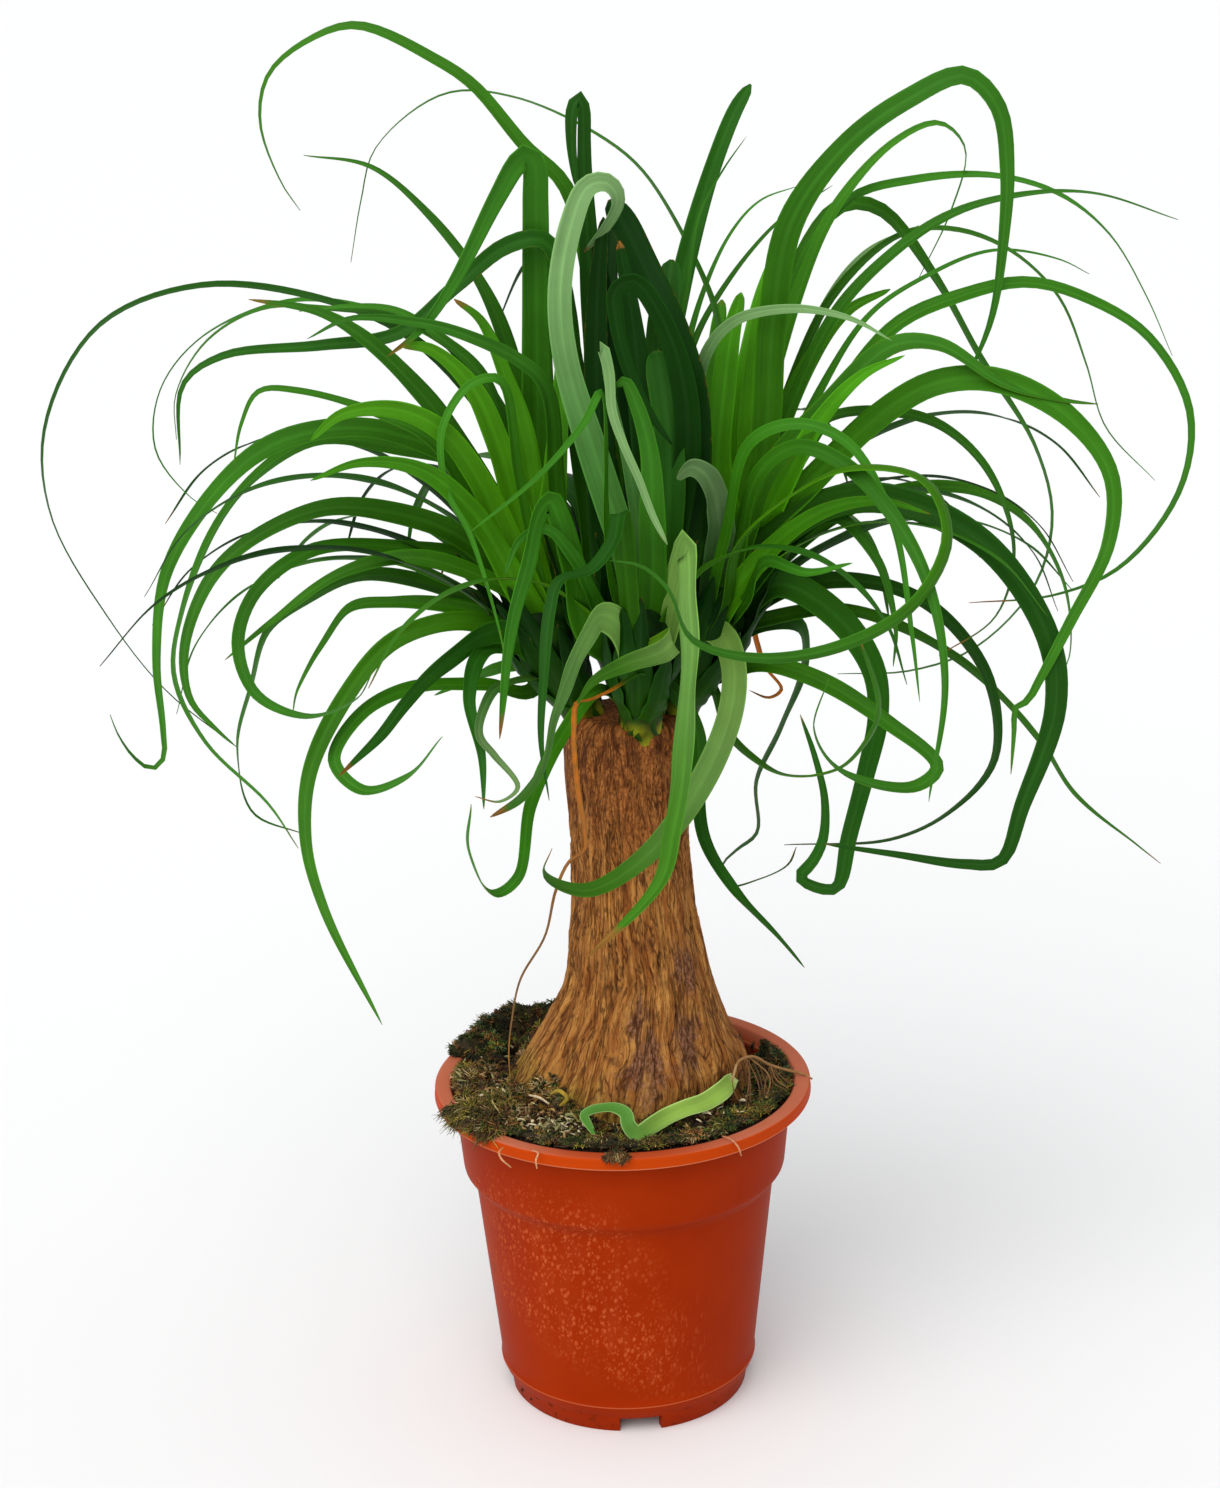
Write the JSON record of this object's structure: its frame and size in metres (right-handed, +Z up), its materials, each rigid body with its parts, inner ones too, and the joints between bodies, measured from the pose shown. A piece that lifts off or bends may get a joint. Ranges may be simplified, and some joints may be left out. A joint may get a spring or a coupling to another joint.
{
  "type": "potted ponytail palm",
  "caption": "Ponytail palm with a swollen, fissured trunk and heads of long arching ribbon leaves, standing in moss-edged soil in a tapered plastic nursery pot.",
  "frame": {"origin": "on the pot's axis, on the plane that the pot's foot stands on, under the middle of the leaves' spread", "axes": "+Z up along the trunk, +Y away from the side that the picture shows, +X to the right as seen from there"},
  "size_m": [0.5522, 0.4482, 0.6758],
  "materials": {
    "pot_plastic": "satin moulded polypropylene, terracotta orange, a little dusty",
    "soil": "dark moist peat potting mix with straw and crumbs",
    "bark": "corky tan bark with fine fissures and purple-brown patches",
    "moss": "damp olive and yellow-green moss",
    "leaf": "tough strap leaf with fine lengthwise veins and a satin upper side",
    "shed_leaf": "yellowing strap leaf with pale edges"
  },
  "bodies": {
    "root": {"pot": "pot_plastic", "potting_soil": "soil", "trunk": "bark", "moss_left": "moss", "moss_rim_left": "moss", "moss_front": "moss", "moss_right": "moss", "moss_rim_back": "moss", "moss_rim_front": "moss", "leaf_head_left": "leaf", "leaf_head_front": "leaf", "leaf_head_right": "leaf", "leaf_head_back": "leaf", "fallen_leaf": "shed_leaf"}
  },
  "joints": []
}
